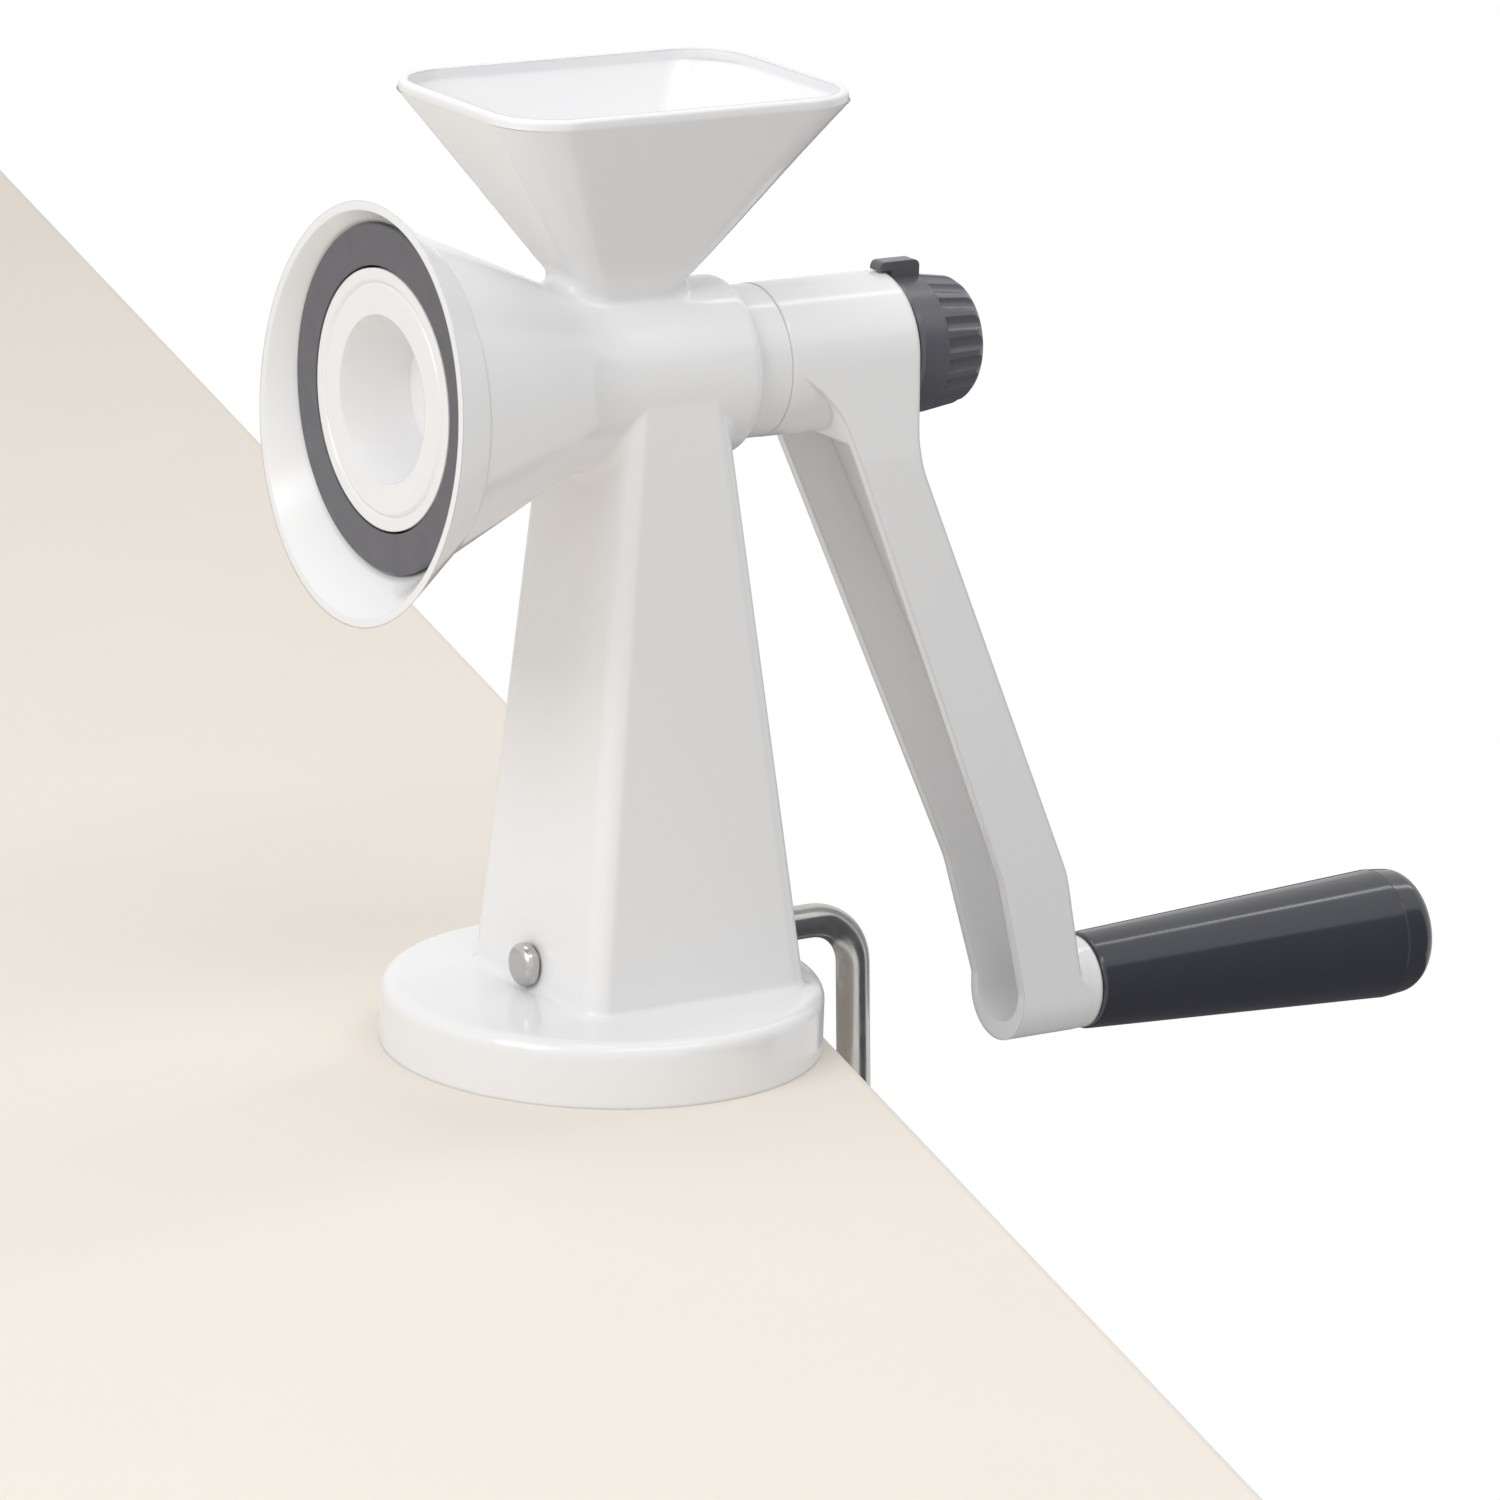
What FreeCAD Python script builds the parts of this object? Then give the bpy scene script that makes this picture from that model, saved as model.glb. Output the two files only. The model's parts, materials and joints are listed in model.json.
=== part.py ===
import FreeCAD, Part
import Sketcher
import math
import os

# A hand-cranked seed mill with a suction foot. Millimetres, +Z up. The origin is the centre of the foot's
# underside, +X runs along the barrel from the outlet to the crank, and the crank hangs straight down.

SIZES = {
    # Foot and column
    "foot_radius": 54.0,
    "foot_height": 16.0,
    "foot_edge_round": 3.5,
    "foot_wall": 3.2,
    "column_outlet_side": 22.0,
    "column_outlet_side_top": 9.4,
    "column_crank_side": 43.9,
    "column_crank_side_top": 17.8,
    "column_half_depth": 30.2,
    "column_half_depth_top": 21.3,
    "column_corner_round": 5.0,
    "column_foot_round": 2.2,
    "column_seam_round": 3.0,
    "column_wall": 3.0,
    # Barrel and cone
    "axis_height": 166.2,
    "barrel_radius": 21.7,
    "barrel_wall": 3.5,
    "barrel_end": 27.6,
    "barrel_end_round": 2.8,
    "cone_mouth": 59.5,
    "cone_mouth_radius": 40.3,
    "cone_narrow": 17.4,
    "cone_blend_round": 36.0,
    "cone_wall": 3.4,
    # Funnel
    "funnel_centre": -1.5,
    "funnel_height": 70.3,
    "funnel_half_length": 48.2,
    "funnel_half_width": 34.4,
    "funnel_corner_round": 16.0,
    "funnel_lip_height": 2.4,
    "funnel_lip_round": 0.9,
    "funnel_wall": 2.4,
    "funnel_root_height": 17.4,
    "funnel_root_half_length": 9.8,
    "funnel_root_half_width": 7.9,
    "funnel_root_corner": 5.8,
    "funnel_seam_round": 2.5,
    "throat_height": 19.4,
    "throat_half_length": 8.8,
    "throat_half_width": 6.4,
    "throat_corner_round": 3.9,
    # Outlet shield, ring and cone
    "shield_web": 1.8,
    "shield_back_radius": 40.6,
    "shield_wall": 2.2,
    "shield_play": 0.7,
    "shield_rim_reach": 71.2,
    "shield_rim_drop": 3.0,
    "shield_rim_half_height": 50.0,
    "shield_rim_half_width": 47.6,
    "shield_rim_tilt": 3.9,
    "ring_face": 65.2,
    "ring_radius": 41.3,
    "ring_back_radius": 39.2,
    "ring_bevel": 0.6,
    "ring_neck_wall": 1.5,
    "ring_neck_end": 51.0,
    "ring_nose_step": 4.0,
    "burr_shoulder": 60.0,
    "burr_gap": 0.6,
    "burr_tail": 46.0,
    "burr_tail_radius": 20.4,
    "burr_groove_depth": 1.2,
    "burr_groove_width": 2.4,
    "face_groove_radius": 27.6,
    "face_groove": 0.6,
    "hollow_radius": 20.0,
    "hollow_floor_radius": 16.5,
    "hollow_depth": 17.0,
    "cone_back": 39.5,
    "cone_boss_radius": 11.0,
    # Shaft line
    "shaft_square": 9.0,
    "shaft_journal_radius": 6.0,
    "shaft_crank_square": 8.4,
    "shaft_thread_radius": 4.0,
    "shaft_front": 46.0,
    "shaft_thread_length": 15.0,
    "feed_travel": 0.8,
    "running_clearance": 0.06,
    "seat_clearance": 0.1,
    "screw_core_radius": 8.0,
    "screw_play": 0.7,
    "screw_pitch": 17.0,
    "screw_flight": 3.0,
    "screw_end": 12.0,
    "drive_pin_radius": 1.5,
    "drive_pin_place": 5.0,
    "bush_front": 16.0,
    "collar_radius": 18.5,
    "collar_length": 9.2,
    "thrust_washer_radius": 13.0,
    "thrust_washer_thickness": 1.0,
    # Crank
    "hub_radius": 18.6,
    "hub_length": 36.1,
    "crank_reach": 170.6,
    "arm_end_radius": 11.9,
    "arm_half_width": 19.7,
    "arm_knee_depth": 19.0,
    "arm_foot_depth": 17.6,
    "arm_shoulder_drop": 23.0,
    "arm_root_reach": 13.5,
    "arm_root_drop": 9.4,
    "arm_root_rise": 2.0,
    "arm_knee_drop": 137.0,
    "arm_knee_reach": 53.5,
    "arm_foot_reach": 61.0,
    "arm_foot_drop": 168.0,
    "arm_wall": 3.2,
    "arm_web": 3.5,
    "arm_bend_round": 30.0,
    "arm_toe": 1.6,
    "boss_length": 6.4,
    "boss_step": 0.1,
    "boss_flare_round": 8.0,
    "boss_flare_sink": 0.1,
    # Knob
    "knob_washer_radius": 15.4,
    "knob_washer_thickness": 1.6,
    "knob_radius": 17.0,
    "knob_band": 8.2,
    "knob_end_radius": 15.3,
    "knob_length": 20.2,
    "knob_end_round": 4.0,
    "knob_flute_radius": 2.6,
    "knob_flute_depth": 0.8,
    "knob_flutes": 20,
    "knob_nut_across": 13.0,
    "knob_nut_thickness": 6.5,
    "tab_length": 11.4,
    "tab_overhang": 1.8,
    "tab_width": 4.4,
    "tab_top": 21.2,
    "tab_round": 1.6,
    # Grip
    "grip_length": 92.0,
    "grip_small_radius": 12.3,
    "grip_large_radius": 16.7,
    "grip_inner_round": 1.2,
    "grip_axle_radius": 4.0,
    "grip_socket_radius": 12.0,
    "grip_socket_depth": 10.0,
    "grip_washer_radius": 8.0,
    "grip_washer_thickness": 1.2,
    "grip_cap_length": 10.0,
    "grip_cap_round": 5.0,
    "grip_cap_plug": 5.0,
    "axle_stub": 2.5,
    # Suction foot
    "lever_height": 22.3,
    "lever_radius": 4.2,
    "lever_bend_radius": 13.0,
    "lever_reach": 72.5,
    "lever_drop": 48.0,
    "lever_splay": 3.0,
    "lever_tip_round": 1.5,
    "lever_cap_radius": 5.3,
    "lever_cap_length": 3.2,
    "lever_cap_round": 2.0,
    "lever_cap_gap": 0.6,
    "lever_clearance": 0.08,
    "cam_offset": 2.0,
    "cam_wall": 1.5,
    "cam_width": 9.0,
    "cam_pin_radius": 1.25,
    "yoke_play": 0.2,
    "yoke_wall": 3.0,
    "yoke_width": 10.0,
    "stem_half_depth": 7.0,
    "stem_flange_radius": 9.5,
    "stem_flange": 1.5,
    "plate_top": 9.4,
    "plate_thickness": 2.2,
    "plate_screw_radius": 1.5,
    "plate_screw_head_radius": 2.8,
    "plate_screw_head": 1.6,
    "plate_screw_circle": 43.0,
    "plate_boss_radius": 4.0,
    "cup_clearance": 0.4,
    "cup_lip": 1.6,
    "cup_lip_width": 6.0,
    "cup_skin": 2.0,
    "cup_hub_radius": 12.0,
    "cup_cover": 0.8,
}

doc = FreeCAD.newDocument("seed_mill")
sheet = doc.addObject("Spreadsheet::Sheet", "Sizes")
for row, (name, number) in enumerate(SIZES.items(), start=1):
    sheet.set("A%d" % row, name)
    sheet.set("B%d" % row, str(number))
    sheet.setAlias("B%d" % row, name)
doc.recompute()


class Size:
    """A length worked out from the sheet: its expression for the document and its number for first drafts."""

    def __init__(self, text, number):
        self.text = text
        self.number = float(number)

    def _join(self, sign, other, number):
        return Size("(%s %s %s)" % (self.text, sign, as_size(other).text), number)

    def __add__(self, other):
        return self._join("+", other, self.number + as_size(other).number)

    def __sub__(self, other):
        return self._join("-", other, self.number - as_size(other).number)

    def __mul__(self, other):
        return self._join("*", other, self.number * as_size(other).number)

    def __truediv__(self, other):
        return self._join("/", other, self.number / as_size(other).number)

    def __neg__(self):
        return self * -1


def as_size(value):
    return value if isinstance(value, Size) else Size(repr(float(value)), value)


class Sheet:
    """Gives each named cell of the sheet as a Size."""

    def __getattr__(self, name):
        return Size("Sizes." + name, SIZES[name])


s = Sheet()
ZERO = as_size(0)


def bind(item, prop, value):
    item.setExpression(prop, as_size(value).text)


def place(item, x=ZERO, y=ZERO, z=ZERO, turn=None):
    """Puts an item at x, y, z, turned first about an axis by an angle in degrees."""
    if turn:
        item.Placement.Rotation = FreeCAD.Rotation(FreeCAD.Vector(*turn[0]), turn[1])
    for letter, value in zip("xyz", (x, y, z)):
        if as_size(value) is not ZERO:
            item.setExpression("Placement.Base." + letter, as_size(value).text)
    return item


ALONG = {"x": ((0, 1, 0), 90), "y": ((1, 0, 0), -90), "z": None}


def rod(name, radius, start, length, direction="x", x=ZERO, y=ZERO, z=ZERO):
    """A round bar along one axis, from start."""
    item = doc.addObject("Part::Cylinder", name)
    bind(item, "Radius", radius)
    bind(item, "Height", length)
    spot = {"x": x, "y": y, "z": z}
    spot[direction] = start
    return place(item, spot["x"], spot["y"], spot["z"], ALONG[direction])


def block(name, x, y, z):
    """A box given by its low and high limits along X, Y and Z."""
    item = doc.addObject("Part::Box", name)
    bind(item, "Length", x[1] - x[0])
    bind(item, "Width", y[1] - y[0])
    bind(item, "Height", z[1] - z[0])
    return place(item, x[0], y[0], z[0])


def wedge(name, low, high, bottom, top):
    """A tapered block from z low to high, each end given as (x low, x high, half width in y)."""
    item = doc.addObject("Part::Wedge", name)
    ends = (("Xmin", bottom[0]), ("Xmax", bottom[1]), ("X2min", top[0]), ("X2max", top[1]),
            ("Zmin", -bottom[2]), ("Zmax", bottom[2]), ("Z2min", -top[2]), ("Z2max", top[2]),
            ("Ymin", ZERO), ("Ymax", as_size(high) - low))
    for prop, value in ends:
        bind(item, prop, value)
    return place(item, z=low, turn=((1, 0, 0), 90))


def join(name, items):
    fused = doc.addObject("Part::MultiFuse", name)
    fused.Shapes = items
    fused.Refine = True
    return fused


def meet(name, items):
    shared = doc.addObject("Part::MultiCommon", name)
    shared.Shapes = items
    return shared


def cut(name, base, tools):
    """The base less its tools, which are joined first where there is more than one."""
    result = doc.addObject("Part::Cut", name)
    result.Base = base
    result.Tool = tools[0] if len(tools) == 1 else join(name + "_tools", tools)
    return result


def round_edges(name, base, chosen):
    """Rounds the edges of a base that chosen(edge) gives a pair of radii for."""
    doc.recompute()
    item = doc.addObject("Part::Fillet", name)
    item.Base = base
    edges = []
    for number, edge in enumerate(base.Shape.Edges, start=1):
        radii = chosen(edge)
        if radii:
            edges.append((number, radii[0], radii[1]))
    item.Edges = edges
    return item


def rim_at(axis, at, radius):
    """Picks the whole circle that lies at a place along an axis."""
    def choose(edge):
        on_rim = len(edge.Vertexes) == 1 and abs(getattr(edge.Vertexes[0], axis) - at.number) < 0.01
        return (radius.number, radius.number) if on_rim else None
    return choose


def outline(body, name, plane, points):
    """A closed sketch of straight lines whose corners are held by the sheet."""
    sketch = body.newObject("Sketcher::SketchObject", name)
    origin = [item for item in body.Origin.OriginFeatures if item.Role == plane][0]
    sketch.AttachmentSupport = (origin, [""])
    sketch.MapMode = "FlatFace"
    corners = [(as_size(a), as_size(b)) for a, b in points]
    spots = [FreeCAD.Vector(a.number, b.number, 0) for a, b in corners]
    count = len(spots)
    for i in range(count):
        sketch.addGeometry(Part.LineSegment(spots[i], spots[(i + 1) % count]), False)
    for i in range(count):
        sketch.addConstraint(Sketcher.Constraint("Coincident", i, 2, (i + 1) % count, 1))
    for i, corner in enumerate(corners):
        for kind, axis, value in (("DistanceX", -2, corner[0]), ("DistanceY", -1, corner[1])):
            if value.text == ZERO.text:
                sketch.addConstraint(Sketcher.Constraint("PointOnObject", i, 1, axis))
            else:
                held = sketch.addConstraint(Sketcher.Constraint(kind, i, 1, value.number))
                sketch.setExpression("Constraints[%d]" % held, value.text)
    return sketch


def turned(name, points, y=ZERO, z=ZERO):
    """A piece turned about a line along X: its profile is given as (place along X, radius)."""
    body = doc.addObject("PartDesign::Body", name)
    sketch = outline(body, name + "_profile", "XZ_Plane", points)
    turn = body.newObject("PartDesign::Revolution", name + "_turned")
    turn.Profile = sketch
    turn.ReferenceAxis = (sketch, ["H_Axis"])
    turn.Angle = 360
    return place(body, y=y, z=z)


def round_rim(body, at, radius, size):
    """Rounds the circular edge of a turned piece that lies at a place along X and has a radius."""
    doc.recompute()
    base = body.Tip
    names = []
    for number, edge in enumerate(base.Shape.Edges, start=1):
        curve = edge.Curve
        if isinstance(curve, Part.Circle) and abs(curve.Radius - radius.number) < 0.001:
            if abs(curve.Center.x - at.number) < 0.001:
                names.append("Edge%d" % number)
    item = body.newObject("PartDesign::Fillet", body.Name + "_round")
    item.Base = (base, names)
    bind(item, "Radius", size)
    body.Tip = item


def column_face(side, top, z):
    """Distance of a tapered column face from the origin at height z."""
    return side + (top - side) * z / s.axis_height


# Mill body: foot, column, barrel, cone and funnel in one white moulding
barrel_bore = s.barrel_radius - s.barrel_wall
foot_disc = rod("foot_disc", s.foot_radius, ZERO, s.foot_height, "z")
foot_top = round_edges("foot_top", foot_disc, rim_at("Z", s.foot_height, s.foot_edge_round))
column_block = wedge("column_block", ZERO, s.axis_height,
                     (-s.column_outlet_side, s.column_crank_side, s.column_half_depth),
                     (-s.column_outlet_side_top, s.column_crank_side_top, s.column_half_depth_top))


def upright(radius):
    """Picks the four long edges of a tapered block."""
    def choose(edge):
        low, high = sorted(v.Z for v in edge.Vertexes)
        return (radius, radius) if high - low > 1 else None
    return choose


column = round_edges("column", column_block, upright(s.column_corner_round.number))
stand = join("stand", [foot_top, column])


def at_column_foot(edge):
    """Picks the seam between the column and the foot's top."""
    box = edge.BoundBox
    level = abs(box.ZMax - s.foot_height.number) < 0.01 and abs(box.ZMin - s.foot_height.number) < 0.01
    reach = math.hypot(edge.CenterOfMass.x, edge.CenterOfMass.y)
    inside = reach < s.foot_radius.number - s.foot_edge_round.number - 0.5 and edge.Length < 100
    return (s.column_foot_round.number,) * 2 if level and inside else None


stand_rounded = round_edges("stand_rounded", stand, at_column_foot)
barrel_cone = turned("barrel_cone", [
    (-s.cone_mouth, ZERO),
    (-s.cone_mouth, s.cone_mouth_radius),
    (-s.cone_narrow, s.barrel_radius),
    (s.barrel_end, s.barrel_radius),
    (s.barrel_end, ZERO),
], z=s.axis_height)
round_rim(barrel_cone, -s.cone_narrow, s.barrel_radius, s.cone_blend_round)
round_rim(barrel_cone, s.barrel_end, s.barrel_radius, s.barrel_end_round)

funnel_top = s.axis_height + s.funnel_height
lip_low = funnel_top - s.funnel_lip_height
funnel_root = s.axis_height + s.funnel_root_height
throat_top = s.axis_height + s.throat_height


def funnel_end(half_length, half_width, inset=ZERO):
    half = half_length - inset
    return (s.funnel_centre - half, s.funnel_centre + half, half_width - inset)


def rim_end(inset=ZERO):
    return funnel_end(s.funnel_half_length, s.funnel_half_width, inset)


def level_with(height, radius):
    """Picks the edges that lie level at one height."""
    def choose(edge):
        box = edge.BoundBox
        level = abs(box.ZMax - height.number) < 0.01 and abs(box.ZMin - height.number) < 0.01
        return (radius.number, radius.number) if level else None
    return choose


def tapered_corners(low_radius, high_radius):
    """Rounds the four long edges of a tapered block, from one radius at the bottom to another at the top."""
    def choose(edge):
        first, last = edge.valueAt(edge.FirstParameter), edge.valueAt(edge.LastParameter)
        if abs(first.z - last.z) < 1:
            return None
        return (low_radius, high_radius) if first.z < last.z else (high_radius, low_radius)
    return choose


def flared(name, low, low_end, low_radius, high_end, high_radius):
    """A block that flares up to the lip. Its corners slant, so that a rounding measured square to them
    has to be larger than the one seen from above."""
    slant = 1.19
    block_name = name + "_block"
    return round_edges(name, wedge(block_name, low, lip_low, low_end, high_end),
                       tapered_corners(low_radius.number * slant, high_radius.number * slant))


def straight_block(name, low, high, end, radius):
    """An upright block with its four corners rounded."""
    return round_edges(name, wedge(name + "_block", low, high, end, end),
                       tapered_corners(radius.number, radius.number))


root_end = funnel_end(s.funnel_root_half_length, s.funnel_root_half_width)
throat_end = funnel_end(s.throat_half_length, s.throat_half_width)
inner_corner = s.funnel_corner_round - s.funnel_wall
flare = flared("flare", funnel_root, root_end, s.funnel_root_corner, rim_end(), s.funnel_corner_round)
lip_sharp = straight_block("lip_sharp", lip_low, funnel_top, rim_end(), s.funnel_corner_round)
lip = round_edges("lip", lip_sharp, level_with(funnel_top, s.funnel_lip_round))
flare_inner = flared("flare_inner", throat_top, throat_end, s.throat_corner_round,
                     rim_end(s.funnel_wall), inner_corner)
lip_inner = straight_block("lip_inner", lip_low, funnel_top, rim_end(s.funnel_wall), inner_corner)
throat = straight_block("throat", s.axis_height, throat_top, throat_end, s.throat_corner_round)


root_half_length = s.funnel_root_half_length.number
root_half_width = s.funnel_root_half_width.number


def at_funnel_seam(edge):
    """Picks the seam where the funnel's flare stands on the barrel."""
    box = edge.BoundBox
    middle = edge.valueAt((edge.FirstParameter + edge.LastParameter) / 2)
    share = (middle.z - funnel_root.number) / (lip_low - funnel_root).number
    half_length = root_half_length + (s.funnel_half_length.number - root_half_length) * share
    half_width = root_half_width + (s.funnel_half_width.number - root_half_width) * share
    out = max(abs(middle.x - s.funnel_centre.number) / half_length, abs(middle.y) / half_width)
    low = box.ZMin > funnel_root.number and box.ZMax < s.axis_height.number + s.barrel_radius.number + 4
    return (s.funnel_seam_round.number,) * 2 if low and 0.75 < out < 1.04 else None


def at_column_seam(edge):
    """Picks the seam where the column runs into the barrel from below."""
    box = edge.BoundBox
    barrel_low = (s.axis_height - s.barrel_radius).number
    beside = box.XMin > -s.cone_narrow.number and box.XMax < (s.barrel_end - s.barrel_end_round).number
    between = box.ZMin > barrel_low - 1 and box.ZMax < s.axis_height.number
    return (s.column_seam_round.number,) * 2 if beside and between else None


column_roof = s.axis_height - s.barrel_radius - s.column_wall


def column_section(z, inset):
    return (inset - column_face(s.column_outlet_side, s.column_outlet_side_top, z),
            column_face(s.column_crank_side, s.column_crank_side_top, z) - inset,
            column_face(s.column_half_depth, s.column_half_depth_top, z) - inset)


column_hollow_block = wedge("column_hollow_block", ZERO, column_roof, column_section(ZERO, s.column_wall),
                            column_section(column_roof, s.column_wall))
column_hollow = round_edges("column_hollow", column_hollow_block,
                            upright(s.column_corner_round.number - s.column_wall.number))
foot_hollow = rod("foot_hollow", s.foot_radius - s.foot_wall, ZERO, s.foot_height - s.foot_wall, "z")
barrel_hollow = rod("barrel_hollow", barrel_bore, -s.cone_narrow, s.cone_narrow + s.barrel_end, "x",
                    z=s.axis_height)
cone_at_neck = (s.barrel_radius + (s.cone_mouth_radius - s.barrel_radius)
                * (s.ring_neck_end - s.cone_narrow) / (s.cone_mouth - s.cone_narrow))
socket_radius = cone_at_neck - s.cone_wall
ring_socket = rod("ring_socket", socket_radius, -s.cone_mouth,
                  s.cone_mouth - s.ring_neck_end, "x", z=s.axis_height)
cone_hollow = doc.addObject("Part::Cone", "cone_hollow")
bind(cone_hollow, "Radius1", socket_radius)
bind(cone_hollow, "Radius2", barrel_bore)
bind(cone_hollow, "Height", s.ring_neck_end - s.cone_narrow)
place(cone_hollow, x=-s.ring_neck_end, z=s.axis_height, turn=ALONG["x"])
lever_hole = rod("lever_hole", s.lever_radius + s.lever_clearance, -s.foot_radius, s.foot_radius * 2, "x",
                 z=s.lever_height)

screw_spot = s.plate_screw_circle / math.sqrt(2)
screw_spots = [(screw_spot, screw_spot), (-screw_spot, screw_spot), (-screw_spot, -screw_spot),
               (screw_spot, -screw_spot)]
boss_roof = s.foot_height - s.foot_wall / 2
plate_bosses = [rod("plate_boss_%d" % i, s.plate_boss_radius, s.plate_top, boss_roof - s.plate_top, "z", x, y)
                for i, (x, y) in enumerate(screw_spots, start=1)]
boss_holes = [rod("boss_hole_%d" % i, s.plate_screw_radius, s.plate_top, boss_roof - s.plate_top, "z", x, y)
              for i, (x, y) in enumerate(screw_spots, start=1)]

body_sharp = join("body_sharp", [stand_rounded, barrel_cone, flare, lip])
body_outer = round_edges("body_outer", body_sharp, lambda edge: at_funnel_seam(edge) or at_column_seam(edge))
body_hollow = cut("body_hollow", body_outer, [column_hollow, foot_hollow, barrel_hollow, ring_socket,
                                              cone_hollow, flare_inner, lip_inner, throat, lever_hole])
body_bossed = join("body_bossed", [body_hollow] + plate_bosses)
mill_body = cut("mill_body", body_bossed, boss_holes)

# Outlet shield: flared hood with a flat web that the grinding ring clamps against the cone's mouth
web_front = s.cone_mouth + s.shield_web


def shield_loft(name, back, back_radius, inset):
    """A ruled flare from a circle at the back to the tilted, drooping oval of the rim."""
    ring = doc.addObject("Part::Circle", name + "_back")
    bind(ring, "Radius", back_radius)
    place(ring, x=-back, z=s.axis_height, turn=((0, 1, 0), -90))
    rim = doc.addObject("Part::Ellipse", name + "_rim")
    bind(rim, "MajorRadius", s.shield_rim_half_height - inset)
    bind(rim, "MinorRadius", s.shield_rim_half_width - inset)
    place(rim, x=-s.shield_rim_reach, z=s.axis_height - s.shield_rim_drop,
          turn=((0, 1, 0), s.shield_rim_tilt.number - 90))
    flare = doc.addObject("Part::Loft", name)
    flare.Sections = [ring, rim]
    flare.Solid = True
    flare.Ruled = True
    return flare


shield_outside = shield_loft("shield_outside", s.cone_mouth, s.shield_back_radius, ZERO)
shield_inside = shield_loft("shield_inside", web_front, s.ring_back_radius + s.shield_play, s.shield_wall)
shield_hole = rod("shield_hole", socket_radius, -web_front, s.shield_web, "x",
                  z=s.axis_height)
outlet_shield = cut("outlet_shield", shield_outside, [shield_inside, shield_hole])

# Grinding ring: dark fixed ring, with a toothed cone inside and a neck that screws into the body
burr_run = s.burr_shoulder - s.burr_tail
ring_neck = socket_radius - s.seat_clearance
ring_bore = ring_neck - s.ring_neck_wall
ring_tail_bore = s.burr_tail_radius + s.burr_gap * 1.3
grinding_ring_blank = turned("grinding_ring_blank", [
    (-s.ring_face, ring_bore),
    (-s.ring_face, s.ring_radius - s.ring_bevel),
    (-s.ring_face + s.ring_bevel, s.ring_radius),
    (-web_front, s.ring_back_radius),
    (-web_front, ring_neck),
    (-s.ring_neck_end, ring_neck),
    (-s.burr_tail, ring_neck - s.ring_nose_step),
    (-s.burr_tail, ring_tail_bore),
    (-s.burr_shoulder, ring_bore),
], z=s.axis_height)
burr_slope = math.atan2((ring_bore - s.burr_gap - s.burr_tail_radius).number, burr_run.number)


def groove_cutters(name, count, radius, side):
    """Straight V grooves along the burr's slope, spread evenly round the axis."""
    half = s.burr_groove_width.number / 2
    depth = s.burr_groove_depth.number
    long = burr_run.number / math.cos(burr_slope)
    tip = FreeCAD.Vector(0, 0, side * depth)
    corners = [FreeCAD.Vector(0, -half, -side * 0.5), FreeCAD.Vector(0, half, -side * 0.5), tip]
    face = Part.Face(Part.makePolygon(corners + corners[:1]))
    groove = face.extrude(FreeCAD.Vector(long, 0, 0))
    groove.rotate(FreeCAD.Vector(), FreeCAD.Vector(0, 1, 0), math.degrees(burr_slope))
    groove.translate(FreeCAD.Vector(-s.burr_shoulder.number, 0, radius.number))
    copies = []
    for i in range(count):
        copy = groove.copy()
        copy.rotate(FreeCAD.Vector(), FreeCAD.Vector(1, 0, 0), 360.0 * i / count)
        copies.append(copy)
    item = doc.addObject("Part::Feature", name)
    item.Shape = Part.makeCompound(copies)
    return place(item, z=s.axis_height)


ring_grooves = groove_cutters("ring_grooves", 24, ring_bore, 1)
grinding_ring = cut("grinding_ring", grinding_ring_blank, [ring_grooves])

# Grinding cone: white hollow cone that turns with the shaft inside the ring
rotor_radius = ring_bore - s.burr_gap
hollow_floor = s.ring_face - s.hollow_depth
grinding_cone_blank = turned("grinding_cone_blank", [
    (-s.ring_face, s.hollow_radius),
    (-s.ring_face, s.face_groove_radius - s.face_groove),
    (-s.ring_face + s.face_groove, s.face_groove_radius),
    (-s.ring_face, s.face_groove_radius + s.face_groove),
    (-s.ring_face, rotor_radius),
    (-s.burr_shoulder, rotor_radius),
    (-s.burr_tail, s.burr_tail_radius),
    (-s.cone_back, s.cone_boss_radius),
    (-s.cone_back, ZERO),
    (-hollow_floor, ZERO),
    (-hollow_floor, s.hollow_floor_radius),
], z=s.axis_height)
cone_grooves = groove_cutters("cone_grooves", 20, rotor_radius, -1)
half_square = s.shaft_square / 2
cone_socket_half = half_square + s.running_clearance
cone_socket = block("cone_socket", (-s.shaft_front, -s.cone_back + 1), (-cone_socket_half, cone_socket_half),
                    (s.axis_height - cone_socket_half, s.axis_height + cone_socket_half))
grinding_cone = cut("grinding_cone", grinding_cone_blank, [cone_grooves, cone_socket])

# Main shaft: square in the cone and the feed screw, round in its bush, square in the crank, then threaded
bush_end = s.barrel_end + s.collar_length
hub_end = bush_end + s.seat_clearance + s.hub_length
crank_half_square = s.shaft_crank_square / 2
shaft_square_part = block("shaft_square_part", (-s.shaft_front, s.bush_front - s.feed_travel),
                          (-half_square, half_square),
                          (s.axis_height - half_square, s.axis_height + half_square))
journal_start = s.bush_front - 2
journal_end = bush_end + s.thrust_washer_thickness - s.feed_travel
shaft_journal = rod("shaft_journal", s.shaft_journal_radius, journal_start, journal_end - journal_start, "x",
                    z=s.axis_height)
shaft_crank_part = block("shaft_crank_part", (bush_end, hub_end - 2), (-crank_half_square, crank_half_square),
                         (s.axis_height - crank_half_square, s.axis_height + crank_half_square))
shaft_thread = rod("shaft_thread", s.shaft_thread_radius, hub_end - 4, s.shaft_thread_length + 4, "x",
                   z=s.axis_height)
shaft_blank = join("shaft_blank", [shaft_square_part, shaft_journal, shaft_crank_part, shaft_thread])
pin_half = s.screw_core_radius - 0.5
shaft_pin_hole = rod("shaft_pin_hole", s.drive_pin_radius, -pin_half, pin_half * 2, "y", x=s.drive_pin_place,
                     z=s.axis_height)
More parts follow.
